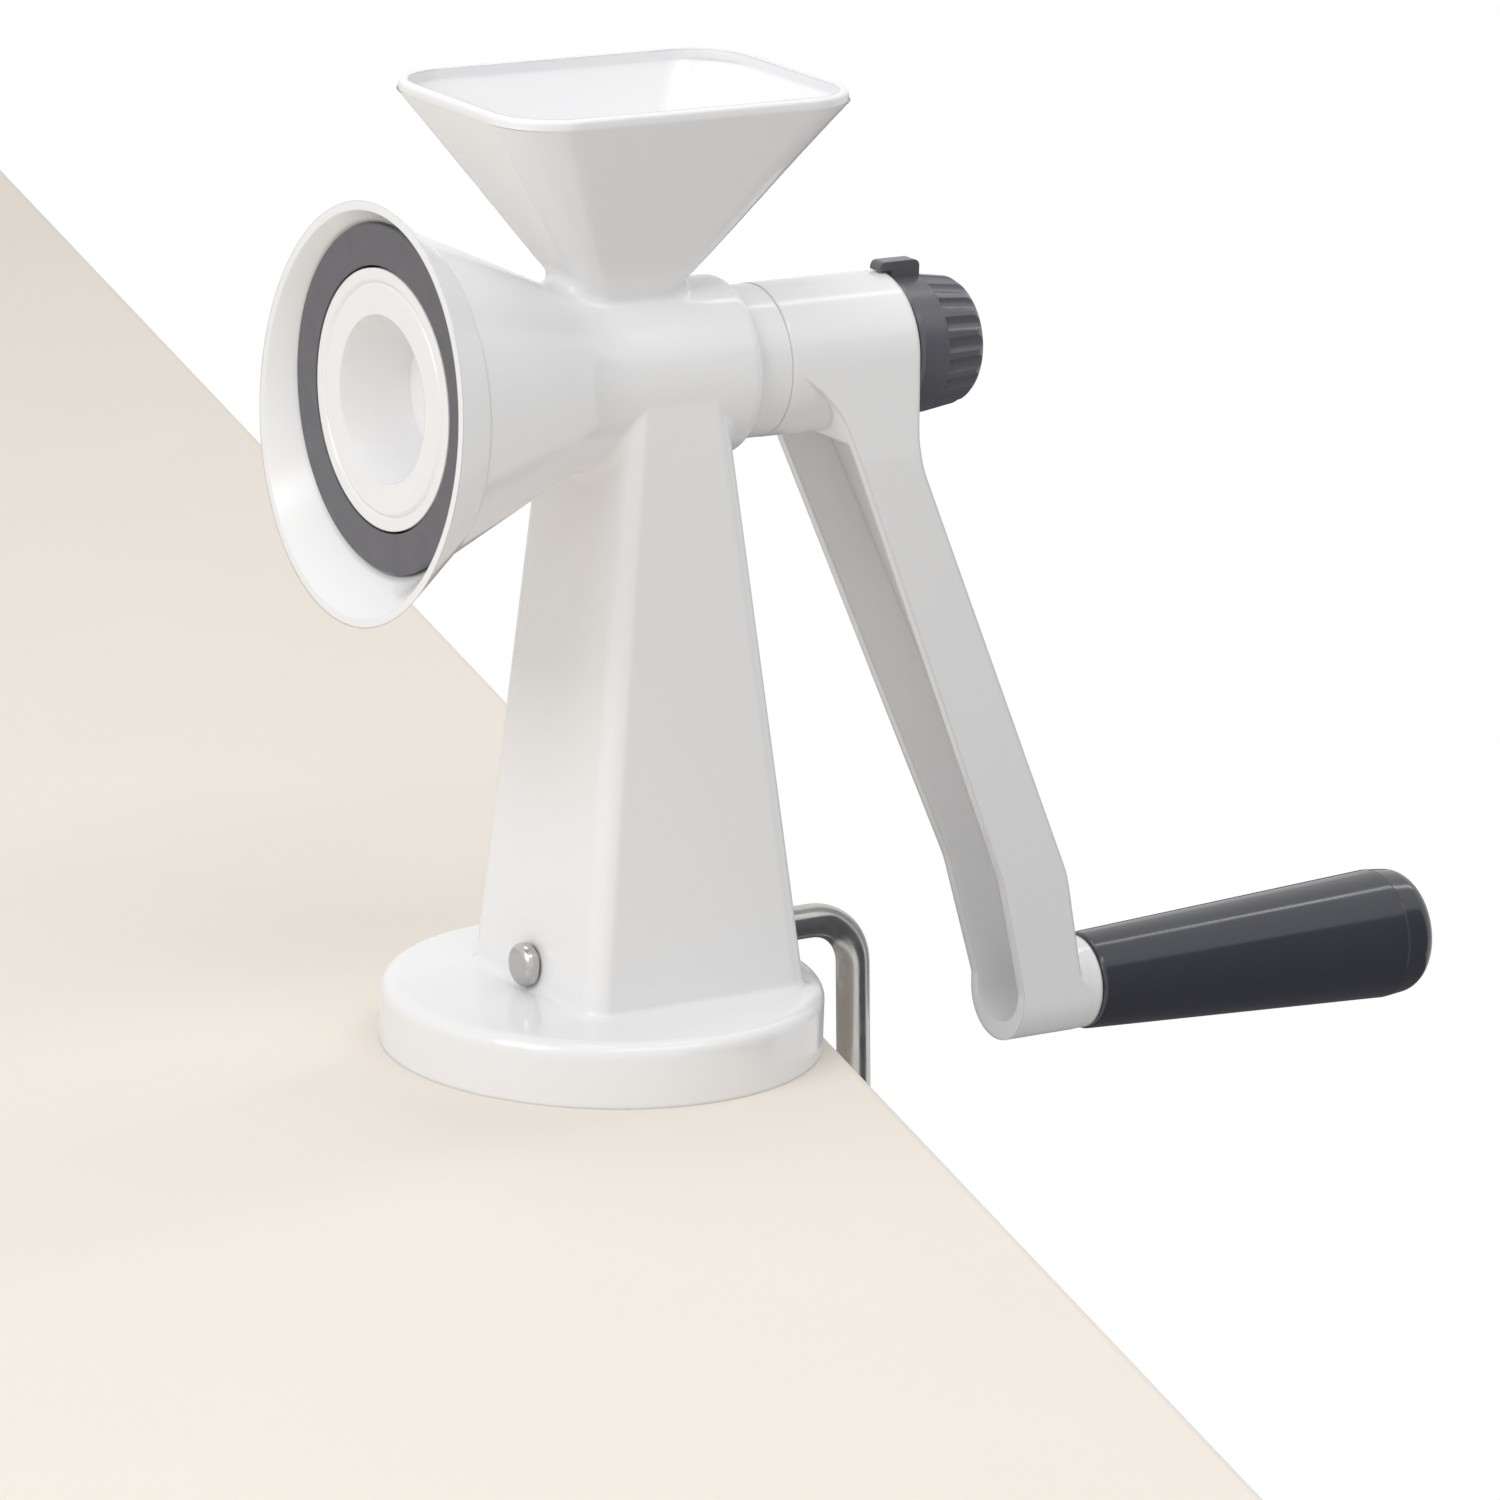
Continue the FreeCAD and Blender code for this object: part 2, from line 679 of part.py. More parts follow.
main_shaft = cut("main_shaft", shaft_blank, [shaft_pin_hole])

# Feed screw: one flight round a core that is keyed to the shaft
screw_body = doc.addObject("PartDesign::Body", "screw_body")
screw_length = s.cone_back + s.screw_end
screw_rim = barrel_bore - s.screw_play
screw_core = screw_body.newObject("PartDesign::AdditiveCylinder", "screw_core")
bind(screw_core, "Radius", s.screw_core_radius)
bind(screw_core, "Height", screw_length)
flight_start = as_size(11.0)
flight_rise = screw_length - flight_start - s.screw_flight - 1
flight_profile = outline(screw_body, "flight_profile", "XZ_Plane", [
    (s.screw_core_radius - 1, flight_start),
    (screw_rim, flight_start + s.screw_flight * 0.25),
    (screw_rim, flight_start + s.screw_flight * 0.75),
    (s.screw_core_radius - 1, flight_start + s.screw_flight),
])
flight = screw_body.newObject("PartDesign::AdditiveHelix", "flight")
flight.Profile = flight_profile
flight.ReferenceAxis = (flight_profile, ["V_Axis"])
flight.Mode = "pitch-height-angle"
bind(flight, "Pitch", s.screw_pitch)
bind(flight, "Height", flight_rise)
screw_body.Tip = flight
place(screw_body, x=-s.cone_back + s.seat_clearance, z=s.axis_height, turn=ALONG["x"])
screw_hole = block("screw_hole", (-s.cone_back, s.screw_end + 1), (-cone_socket_half, cone_socket_half),
                   (s.axis_height - cone_socket_half, s.axis_height + cone_socket_half))
screw_pin_hole = rod("screw_pin_hole", s.drive_pin_radius, -pin_half, pin_half * 2, "y", x=s.drive_pin_place,
                     z=s.axis_height)
feed_screw = cut("feed_screw", screw_body, [screw_hole, screw_pin_hole])
drive_pin = rod("drive_pin", s.drive_pin_radius - 0.02, -pin_half, pin_half * 2, "y", x=s.drive_pin_place,
                z=s.axis_height)

# Rear bush: plain bearing pushed into the barrel, with the collar that shows
shaft_bore = s.shaft_journal_radius + s.running_clearance
rear_bush = turned("rear_bush", [
    (s.bush_front, shaft_bore),
    (s.bush_front, barrel_bore - s.running_clearance),
    (s.barrel_end, barrel_bore - s.running_clearance),
    (s.barrel_end, s.collar_radius),
    (bush_end, s.collar_radius),
    (bush_end, shaft_bore),
], z=s.axis_height)
washer_end = bush_end + s.thrust_washer_thickness
thrust_washer = turned("thrust_washer", [
    (bush_end, shaft_bore),
    (bush_end, s.thrust_washer_radius),
    (washer_end, s.thrust_washer_radius),
    (washer_end, shaft_bore),
], z=s.axis_height)

# Crank: hub, arm of U section that opens towards the body, and the boss that carries the grip
grip_height = s.axis_height - s.crank_reach
hub_start = bush_end + s.seat_clearance
shoulder = s.axis_height - s.arm_shoulder_drop
knee = s.axis_height - s.arm_knee_drop
ankle = s.axis_height - s.arm_foot_drop
arm_low = grip_height - s.arm_end_radius
arm_outer_foot = hub_end + s.arm_foot_reach
boss_end = arm_outer_foot + s.boss_length


def prism(name, points, half_width, bends):
    """A side view padded to both sides of the crank's plane, with its bends rounded."""
    body = doc.addObject("PartDesign::Body", name)
    sketch = outline(body, name + "_side", "XZ_Plane", points)
    pad = body.newObject("PartDesign::Pad", name + "_pad")
    pad.Profile = sketch
    bind(pad, "Length", half_width * 2)
    pad.SideType = "Symmetric"
    doc.recompute()
    names = []
    for number, edge in enumerate(pad.Shape.Edges, start=1):
        spot = edge.CenterOfMass
        if abs(edge.BoundBox.YLength - 2 * half_width.number) < 0.01:
            if any(math.hypot(spot.x - x.number, spot.z - z.number) < 0.01 for x, z in bends):
                names.append("Edge%d" % number)
    rounded = body.newObject("PartDesign::Fillet", name + "_bends")
    rounded.Base = (pad, names)
    bind(rounded, "Radius", s.arm_bend_round)
    body.Tip = rounded
    return body


def arm_line(inset):
    """The arm's outer side line from shoulder to foot, set in by a depth."""
    return [(hub_end - inset, shoulder), (hub_end + s.arm_knee_reach - inset, knee),
            (arm_outer_foot - inset, ankle)]


def arm_front(name, trim, toe=ZERO):
    """Front view of the arm: a taper from the shoulder to a round end, as long along X as the arm."""
    low = grip_height + toe
    start = hub_start
    run = boss_end - hub_start
    lower = rod(name + "_lower", s.arm_end_radius - trim, start, run, "x", z=low)
    reach = (start, start + run)
    widest = reach + (s.arm_half_width - trim,)
    taper = wedge(name + "_taper", low, shoulder, reach + (s.arm_end_radius - trim,), widest)
    root = wedge(name + "_root", shoulder, s.axis_height, widest, reach + (s.hub_radius - trim,))
    return join(name, [lower, taper, root])


outer_line = arm_line(ZERO)
floor_line = arm_line(s.arm_web)
inner_line = [(hub_start + s.arm_root_reach, s.axis_height - s.arm_root_drop),
              (hub_end + s.arm_knee_reach - s.arm_knee_depth, knee),
              (arm_outer_foot - s.arm_foot_depth, ankle)]
arm_side = prism("arm_side",
                 [(hub_end, s.axis_height)] + outer_line
                 + [(arm_outer_foot, arm_low), (arm_outer_foot - s.arm_foot_depth, arm_low)]
                 + inner_line[::-1] + [(hub_start, s.axis_height + s.arm_root_rise)],
                 s.arm_half_width + 2, outer_line[:2] + inner_line[:2])
arm_outline = arm_front("arm_front", ZERO)
arm_solid = meet("arm_solid", [arm_side, arm_outline])
open_side = hub_start + 2
channel_top = s.axis_height - s.hub_radius - 0.5
channel_side = prism("channel_side",
                     [(hub_end - s.arm_web, channel_top + s.hub_radius)] + floor_line
                     + [(arm_outer_foot - s.arm_web, arm_low), (open_side, arm_low),
                        (open_side, channel_top + s.hub_radius)],
                     s.arm_half_width + 2, floor_line[:2])
channel_room = block("channel_room", (hub_start, arm_outer_foot), (-s.arm_half_width, s.arm_half_width),
                     (arm_low, channel_top))
channel = meet("channel", [channel_side, arm_front("channel_front", s.arm_wall, s.arm_toe), channel_room])
hub = rod("hub", s.hub_radius, hub_start, s.hub_length, "x", z=s.axis_height)
boss_start = arm_outer_foot - s.arm_web
boss_radius = s.arm_end_radius - s.boss_step


def flare_line(height):
    """Place along X just inside the arm's outer face below the knee, at a height over the grip's axis."""
    lean = (s.arm_foot_reach - s.arm_knee_reach) / (s.arm_foot_drop - s.arm_knee_drop)
    return arm_outer_foot - lean * (height - (s.crank_reach - s.arm_foot_drop)) - s.boss_flare_sink


flare_top = boss_radius + s.boss_flare_round
boss_turned = turned("boss_turned", [
    (flare_line(flare_top) - s.arm_web / 2, ZERO),
    (flare_line(flare_top) - s.arm_web / 2, flare_top),
    (flare_line(flare_top), flare_top),
    (flare_line(boss_radius), boss_radius),
    (boss_end, boss_radius),
    (boss_end, ZERO),
], z=grip_height)
round_rim(boss_turned, flare_line(boss_radius), boss_radius, s.boss_flare_round)
boss = meet("boss", [boss_turned, arm_outline])
hub_square_half = crank_half_square + s.running_clearance
hub_square = block("hub_square", (hub_start, hub_end), (-hub_square_half, hub_square_half),
                   (s.axis_height - hub_square_half, s.axis_height + hub_square_half))
washer_seat = rod("washer_seat", s.thrust_washer_radius + s.seat_clearance * 2, hub_start,
                  washer_end - hub_start, "x", z=s.axis_height)
axle_hole = rod("axle_hole", s.grip_axle_radius, boss_start, boss_end - boss_start, "x", z=grip_height)
arm_bossed = join("arm_bossed", [arm_solid, boss])
arm_open = cut("arm_open", arm_bossed, [channel])
crank_whole = join("crank_whole", [arm_open, hub])
crank_arm = cut("crank_arm", crank_whole, [hub_square, washer_seat, axle_hole])

# Adjusting knob with its washer and nut: it screws along the shaft's thread and draws the cone into the ring
thread_bore = s.shaft_thread_radius + s.running_clearance
knob_washer_end = hub_end + s.knob_washer_thickness
knob_washer = turned("knob_washer", [
    (hub_end, s.shaft_thread_radius + 3),
    (hub_end, s.knob_washer_radius),
    (knob_washer_end, s.knob_washer_radius),
    (knob_washer_end, s.shaft_thread_radius + 3),
], z=s.axis_height)
knob_start = knob_washer_end + s.seat_clearance
knob_end = knob_start + s.knob_length
band_end = knob_start + s.knob_band
bore_end = hub_end + s.shaft_thread_length + 1.5
knob_turned = turned("knob_turned", [
    (knob_start, thread_bore),
    (knob_start, s.knob_radius - 0.5),
    (knob_start + 1, s.knob_radius),
    (band_end, s.knob_radius),
    (knob_end, s.knob_end_radius),
    (knob_end, ZERO),
    (bore_end, ZERO),
    (bore_end, thread_bore),
], z=s.axis_height)
round_rim(knob_turned, knob_end, s.knob_end_radius, s.knob_end_round)


def flutes():
    """Shallow round flutes along the knob's outer part."""
    start = band_end.number
    long = (knob_end - band_end).number + 1
    drop = (s.knob_radius - s.knob_end_radius).number
    lean = math.degrees(math.atan2(drop, long - 1))
    groove = Part.makeCylinder(s.knob_flute_radius.number, long * 1.1)
    groove.rotate(FreeCAD.Vector(), FreeCAD.Vector(0, 1, 0), 90 + lean)
    axis = s.knob_radius + s.knob_flute_radius - s.knob_flute_depth
    groove.translate(FreeCAD.Vector(start, 0, axis.number))
    count = int(SIZES["knob_flutes"])
    copies = []
    for i in range(count):
        copy = groove.copy()
        copy.rotate(FreeCAD.Vector(), FreeCAD.Vector(1, 0, 0), 360.0 * (i + 0.5) / count)
        copies.append(copy)
    item = doc.addObject("Part::Feature", "knob_grooves")
    item.Shape = Part.makeCompound(copies)
    return place(item, z=s.axis_height)


def hexagon(name, across, start, length):
    """A hexagonal bar along X round the shaft's axis."""
    item = doc.addObject("Part::Prism", name)
    item.Polygon = 6
    bind(item, "Circumradius", across / math.sqrt(3))
    bind(item, "Height", length)
    return place(item, x=start, z=s.axis_height, turn=ALONG["x"])


tab_half = s.tab_width / 2
tab_start = hub_end - s.tab_overhang
tab_low = s.axis_height + s.hub_radius + s.seat_clearance * 4
tab_bar = block("tab_bar", (tab_start, tab_start + s.tab_length), (-tab_half, tab_half),
                (tab_low, s.axis_height + s.tab_top))


def tab_corner(edge):
    """Picks the two upper edges across the tab."""
    across = abs(edge.BoundBox.YLength - s.tab_width.number) < 0.01
    upper = abs(edge.CenterOfMass.z - (s.axis_height + s.tab_top).number) < 0.01
    return (s.tab_round.number, s.tab_round.number) if across and upper else None


tab_rounded = round_edges("tab_rounded", tab_bar, tab_corner)
tab_root = block("tab_root", (knob_start, tab_start + s.tab_length), (-tab_half, tab_half),
                 (s.axis_height + s.knob_radius - 2, tab_low))
knob_fluted = cut("knob_fluted", knob_turned, [flutes()])
knob_tabbed = join("knob_tabbed", [knob_fluted, tab_rounded, tab_root])
nut_start = knob_start + 2
nut_seat = hexagon("nut_seat", s.knob_nut_across, nut_start, s.knob_nut_thickness)
adjusting_knob = cut("adjusting_knob", knob_tabbed, [nut_seat])
nut_blank = hexagon("nut_blank", s.knob_nut_across, nut_start, s.knob_nut_thickness)
nut_bore = rod("nut_bore", thread_bore, nut_start, s.knob_nut_thickness, "x", z=s.axis_height)
knob_nut = cut("knob_nut", nut_blank, [nut_bore])

# Grip: tapered sleeve that turns on a steel axle, kept on by a push-on washer under its end cap
grip_start = boss_end + s.seat_clearance * 3
grip_end = grip_start + s.grip_length
socket_floor = grip_end - s.grip_socket_depth
axle_bore = s.grip_axle_radius + s.running_clearance
grip_washer_end = socket_floor + s.grip_washer_thickness + s.seat_clearance
axle_end = grip_washer_end + s.axle_stub
grip = turned("grip", [
    (grip_start, axle_bore),
    (grip_start, s.grip_small_radius),
    (grip_end, s.grip_large_radius),
    (grip_end, s.grip_socket_radius),
    (socket_floor, s.grip_socket_radius),
    (socket_floor, axle_bore),
], z=grip_height)
round_rim(grip, grip_start, s.grip_small_radius, s.grip_inner_round)
cap_start = grip_end + s.seat_clearance
cap_end = cap_start + s.grip_cap_length
grip_end_cap = turned("grip_end_cap", [
    (grip_end - s.grip_cap_plug, ZERO),
    (grip_end - s.grip_cap_plug, s.grip_socket_radius - s.running_clearance),
    (cap_start, s.grip_socket_radius - s.running_clearance),
    (cap_start, s.grip_large_radius),
    (cap_end, s.grip_large_radius - 1),
    (cap_end, ZERO),
], z=grip_height)
round_rim(grip_end_cap, cap_end, s.grip_large_radius - 1, s.grip_cap_round)
grip_axle = rod("grip_axle", s.grip_axle_radius, boss_start, axle_end - boss_start, "x", z=grip_height)
grip_washer = turned("grip_washer", [
    (socket_floor + s.seat_clearance, s.grip_axle_radius),
    (socket_floor + s.seat_clearance, s.grip_washer_radius),
    (grip_washer_end, s.grip_washer_radius),
    (grip_washer_end, s.grip_axle_radius),
], z=grip_height)

# Suction lever: bent steel rod through the column, with the eccentric that lifts the plunger
outlet_face = column_face(s.column_outlet_side, s.column_outlet_side_top, s.lever_height - s.lever_cap_radius)
cap_inner = outlet_face + s.lever_cap_gap
lever_left = cap_inner + s.lever_cap_length - 1.2
bend_start = s.lever_reach - s.lever_bend_radius
lever_bar = rod("lever_bar", s.lever_radius, -lever_left, lever_left + bend_start, "x", z=s.lever_height)
lever_bend = doc.addObject("Part::Torus", "lever_bend")
bind(lever_bend, "Radius1", s.lever_bend_radius)
bind(lever_bend, "Radius2", s.lever_radius)
bind(lever_bend, "Angle3", as_size(90) - s.lever_splay)
bend_height = s.lever_height - s.lever_bend_radius
splay = math.radians(s.lever_splay.number)
place(lever_bend, x=bend_start, z=bend_height)
upright_bend = FreeCAD.Rotation(FreeCAD.Vector(1, 0, 0), 90)
opened_bend = FreeCAD.Rotation(FreeCAD.Vector(0, -1, 0), s.lever_splay.number)
lever_bend.Placement.Rotation = opened_bend * upright_bend
leg_length = s.lever_drop - s.lever_bend_radius
lever_leg = doc.addObject("Part::Cylinder", "lever_leg")
bind(lever_leg, "Radius", s.lever_radius)
bind(lever_leg, "Height", leg_length)
lever_tip = round_edges("lever_tip", lever_leg, rim_at("Z", leg_length, s.lever_tip_round))
place(lever_tip, x=bend_start + s.lever_bend_radius * math.cos(splay),
      z=bend_height + s.lever_bend_radius * math.sin(splay), turn=((0, 1, 0), 180 - s.lever_splay.number))
lever_blank = join("lever_blank", [lever_bar, lever_bend, lever_tip])
cam_radius = s.lever_radius + s.cam_offset + s.cam_wall
half_cam = s.cam_width / 2
shift = s.cam_offset / math.sqrt(2)
cam_height = s.lever_height + shift
cam_pin_low = cam_height - cam_radius + 0.5
cam_pin_run = (cam_radius - 0.5) * 2
lever_pin_hole = rod("lever_pin_hole", s.cam_pin_radius, cam_pin_low, cam_pin_run, "z")
suction_lever = cut("suction_lever", lever_blank, [lever_pin_hole])
cam_blank = rod("cam_blank", cam_radius, -half_cam, s.cam_width, "x", y=-shift, z=cam_height)
cam_bore = rod("cam_bore", s.lever_radius + s.running_clearance, -half_cam, s.cam_width, "x",
               z=s.lever_height)
cam_pin_hole = rod("cam_pin_hole", s.cam_pin_radius, cam_pin_low, cam_pin_run, "z")
lever_cam = cut("lever_cam", cam_blank, [cam_bore, cam_pin_hole])
cam_pin = rod("cam_pin", s.cam_pin_radius - 0.02, cam_pin_low, cam_pin_run, "z")
lever_end_cap = turned("lever_end_cap", [
    (-cap_inner, s.lever_radius + 0.02),
    (-cap_inner, s.lever_cap_radius),
    (-cap_inner - s.lever_cap_length, s.lever_cap_radius),
    (-cap_inner - s.lever_cap_length, ZERO),
    (-lever_left, ZERO),
    (-lever_left, s.lever_radius + 0.02),
], z=s.lever_height)
round_rim(lever_end_cap, -cap_inner - s.lever_cap_length, s.lever_cap_radius, s.lever_cap_round)

# Plunger: a yoke whose window rides on the eccentric, with a stem and flange in the rubber cup
lift = shift * 2
half_yoke = s.yoke_width / 2
window_half = cam_radius + s.cam_offset + s.yoke_play
window_low = cam_height - cam_radius - s.yoke_play
window_high = cam_height + cam_radius + s.yoke_play
cup_under = lift
flange_low = cup_under + s.cup_cover
flange_high = flange_low + s.stem_flange
yoke_low = window_low - s.yoke_wall
frame_half = window_half + s.yoke_wall
yoke_frame = block("yoke_frame", (-half_yoke, half_yoke), (-frame_half, frame_half),
                   (yoke_low, window_high + s.yoke_wall))
yoke_window = block("yoke_window", (-half_yoke, half_yoke), (-window_half, window_half),
                    (window_low, window_high))
yoke_stem = block("yoke_stem", (-half_yoke, half_yoke), (-s.stem_half_depth, s.stem_half_depth),
                  (flange_low, yoke_low))
yoke_flange = rod("yoke_flange", s.stem_flange_radius, flange_low, s.stem_flange, "z")
yoke_opened = cut("yoke_opened", yoke_frame, [yoke_window])
suction_yoke = join("suction_yoke", [yoke_opened, yoke_stem, yoke_flange])

# Suction cup: rubber disc drawn up at its centre while the lever hangs locked
cup_radius = s.foot_radius - s.foot_wall - s.cup_clearance
cup_body = doc.addObject("PartDesign::Body", "cup_body")
cup_top = flange_high + s.cup_cover
cup_profile = outline(cup_body, "cup_profile", "XZ_Plane", [
    (ZERO, cup_under),
    (s.cup_hub_radius, cup_under),
    (cup_radius - s.cup_lip_width, ZERO),
    (cup_radius, ZERO),
    (cup_radius, s.cup_lip),
    (cup_radius - s.cup_lip_width, s.cup_skin),
    (s.cup_hub_radius + 3, cup_under + s.cup_skin),
    (s.cup_hub_radius, cup_top),
    (ZERO, cup_top),
])
cup_turn = cup_body.newObject("PartDesign::Revolution", "cup_turn")
cup_turn.Profile = cup_profile
cup_turn.ReferenceAxis = (cup_profile, ["V_Axis"])
cup_turn.Angle = 360
flange_room = rod("flange_room", s.stem_flange_radius, flange_low, s.stem_flange, "z")
stem_room = block("stem_room", (-half_yoke, half_yoke), (-s.stem_half_depth, s.stem_half_depth),
                  (flange_high, cup_top + 1))
suction_cup = cut("suction_cup", cup_body, [flange_room, stem_room])

# Cup plate and its four screws: the plate backs the cup and guides the plunger's stem
plate_low = s.plate_top - s.plate_thickness
guide_half_depth = s.stem_half_depth + s.running_clearance
guide_half = half_yoke + s.running_clearance
plate_disc = rod("plate_disc", s.foot_radius - s.foot_wall - s.seat_clearance, plate_low,
                 s.plate_thickness, "z")
plate_guide = block("plate_guide", (-guide_half, guide_half), (-guide_half_depth, guide_half_depth),
                    (plate_low, s.plate_top))
plate_holes = [rod("plate_hole_%d" % i, s.plate_screw_radius + s.seat_clearance, plate_low, s.plate_thickness,
                   "z", x, y) for i, (x, y) in enumerate(screw_spots, start=1)]
cup_plate = cut("cup_plate", plate_disc, [plate_guide] + plate_holes)
screw_top = boss_roof - 0.3
screw_head_low = plate_low - s.plate_screw_head
screws = []
for i, (x, y) in enumerate(screw_spots, start=1):
    shank = rod("screw_shank_%d" % i, s.plate_screw_radius, plate_low, screw_top - plate_low, "z", x, y)
    head = rod("screw_head_%d" % i, s.plate_screw_head_radius, screw_head_low, s.plate_screw_head, "z", x, y)
    screws.append(join("screw_%d" % i, [shank, head]))
plate_screws = doc.addObject("Part::Compound", "plate_screws")
plate_screws.Links = screws

# Check every object, then write one file for each piece
NODES = {
    "mill_body": mill_body, "outlet_shield": outlet_shield, "grinding_ring": grinding_ring,
    "grinding_cone": grinding_cone, "main_shaft": main_shaft, "feed_screw": feed_screw,
    "drive_pin": drive_pin, "rear_bush": rear_bush, "thrust_washer": thrust_washer,
    "crank_arm": crank_arm, "knob_washer": knob_washer, "adjusting_knob": adjusting_knob,
    "knob_nut": knob_nut, "grip": grip, "grip_end_cap": grip_end_cap, "grip_axle": grip_axle,
    "grip_washer": grip_washer, "suction_lever": suction_lever, "lever_cam": lever_cam,
    "cam_pin": cam_pin, "lever_end_cap": lever_end_cap, "suction_yoke": suction_yoke,
    "suction_cup": suction_cup, "cup_plate": cup_plate, "plate_screws": plate_screws,
}
doc.recompute()
for item in doc.Objects:
    if "Invalid" in item.State or "Error" in item.State:
        raise RuntimeError("%s failed: %s" % (item.Name, item.State))
os.makedirs("parts", exist_ok=True)
for label, item in NODES.items():
    item.Label = label
    shape = item.Shape
    if shape.isNull() or not shape.isValid():
        raise RuntimeError("%s has no valid shape" % label)
    print("%-16s %d solid(s) %10.1f mm3" % (label, len(shape.Solids), shape.Volume))
for label, item in NODES.items():
    item.Shape.exportStep(os.path.join("parts", label + ".step"))
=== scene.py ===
import json
import bmesh
import bpy
import numpy as np
from mathutils import Matrix, Vector


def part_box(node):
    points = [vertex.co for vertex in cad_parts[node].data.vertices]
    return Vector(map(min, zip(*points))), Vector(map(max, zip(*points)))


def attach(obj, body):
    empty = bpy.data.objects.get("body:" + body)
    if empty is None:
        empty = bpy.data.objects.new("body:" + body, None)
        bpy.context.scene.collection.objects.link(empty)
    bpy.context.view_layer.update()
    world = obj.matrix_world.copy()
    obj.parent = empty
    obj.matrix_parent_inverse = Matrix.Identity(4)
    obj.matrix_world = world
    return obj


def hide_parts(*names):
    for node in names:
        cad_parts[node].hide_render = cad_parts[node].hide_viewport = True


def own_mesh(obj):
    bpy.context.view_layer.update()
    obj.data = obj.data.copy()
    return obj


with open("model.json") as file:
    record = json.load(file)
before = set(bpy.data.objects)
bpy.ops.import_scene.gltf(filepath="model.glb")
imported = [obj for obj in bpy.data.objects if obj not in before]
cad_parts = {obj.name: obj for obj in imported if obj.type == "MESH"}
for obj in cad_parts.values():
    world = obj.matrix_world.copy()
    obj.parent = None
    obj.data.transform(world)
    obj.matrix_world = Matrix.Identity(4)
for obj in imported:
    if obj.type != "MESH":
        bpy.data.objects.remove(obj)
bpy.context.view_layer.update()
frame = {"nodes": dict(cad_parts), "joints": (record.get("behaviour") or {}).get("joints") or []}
nodes = frame["nodes"]


# Mill body: foot, tapered column, barrel, outlet cone and funnel, moulded as one piece of white ABS.
# The polished mould gave it a shine, which use has dulled in patches. Its edges are slightly soft,
# and the large faces have the faint waves that a moulding gets as it cools.
mm_per_m = 1000


def linear(code):
    """sRGB hex to linear: c / 12.92 in the dark, ((c + 0.055) / 1.055) ** 2.4 above."""
    c = np.array([int(code[i:i + 2], 16) for i in (1, 3, 5)]) / 255
    return (*np.where(c <= 0.04045, c / 12.92, ((c + 0.055) / 1.055) ** 2.4).tolist(), 1.0)


def add(tree, kind, links=(), **values):
    """Adds a node, sets its properties or input values by name, and links (input, output) pairs."""
    node = tree.nodes.new(kind)
    for name, value in values.items():
        if hasattr(node, name):
            setattr(node, name, value)
        else:
            node.inputs[name.replace("_", " ")].default_value = value
    for socket, output in links:
        tree.links.new(output, node.inputs[socket])
    return node


def coloured(name, colour):
    """A new material of one colour, and its shader."""
    material = bpy.data.materials.new(name)
    material.use_nodes = True
    material.diffuse_color = linear(colour)
    shader = material.node_tree.nodes["Principled BSDF"]
    shader.inputs["Base Color"].default_value = linear(colour)
    return material, shader


def handled(tree, shader, place, roughness, patch_mm):
    """Links a roughness that is duller where hands and seed have rubbed, in patches of patch_mm."""
    clean, worn = 0.35, 0.7
    clean_share, worn_share = 0.85, 1.4
    rubbed = add(tree, "ShaderNodeTexNoise", [("Vector", place.outputs["Object"])],
                 Scale=mm_per_m / patch_mm, Detail=3.0)
    dull = add(tree, "ShaderNodeMapRange", [("Value", rubbed.outputs["Fac"])],
               From_Min=clean, From_Max=worn,
               To_Min=roughness * clean_share, To_Max=roughness * worn_share)
    tree.links.new(dull.outputs["Result"], shader.inputs["Roughness"])


def moulded(name, colour, roughness, edge_mm, wave_mm, wave_height_mm):
    """A moulded surface: one colour, edges rounded by edge_mm, and low waves wave_mm wide."""
    plastic_ior = 1.53
    edge_samples = 6
    waves_per_patch = 2
    material, shader = coloured(name, colour)
    shader.inputs["IOR"].default_value = plastic_ior
    tree = material.node_tree
    place = add(tree, "ShaderNodeTexCoord")
    handled(tree, shader, place, roughness, patch_mm=waves_per_patch * wave_mm)
    waves = add(tree, "ShaderNodeTexNoise", [("Vector", place.outputs["Object"])],
                Scale=mm_per_m / wave_mm, Detail=1.0)
    edges = add(tree, "ShaderNodeBevel", samples=edge_samples, Radius=edge_mm / mm_per_m)
    bump = add(tree, "ShaderNodeBump",
               [("Height", waves.outputs["Fac"]), ("Normal", edges.outputs["Normal"])],
               Strength=1.0, Distance=wave_height_mm / mm_per_m)
    tree.links.new(bump.outputs["Normal"], shader.inputs["Normal"])
    return material


def dress(material, *names):
    """Gives the named CAD pieces this one finish."""
    for name in names:
        nodes[name].data.materials.clear()
        nodes[name].data.materials.append(material)


white_plastic = "#EFEFF0"
white_abs = moulded("glossy white ABS", white_plastic, roughness=0.14,
                    edge_mm=1.5, wave_mm=14, wave_height_mm=0.008)
dress(white_abs, "mill_body")


# Outlet shield: thin white ABS hood pressed over the mouth of the outlet cone.
# It has the body's polished finish, with the crisper edges of a thin moulding.
thin_abs = moulded("thin white ABS", white_plastic, roughness=0.16,
                   edge_mm=0.6, wave_mm=14, wave_height_mm=0.005)
dress(thin_abs, "outlet_shield")


# Grinding ring: the fixed burr, moulded in dark grey glass-filled nylon and held in the cone's mouth.
# Its flat front face has a fine satin finish, a little duller than the body's.
grey_nylon = moulded("satin grey nylon", "#5B5B61", roughness=0.36,
                     edge_mm=0.5, wave_mm=3, wave_height_mm=0.004)
dress(grey_nylon, "grinding_ring")


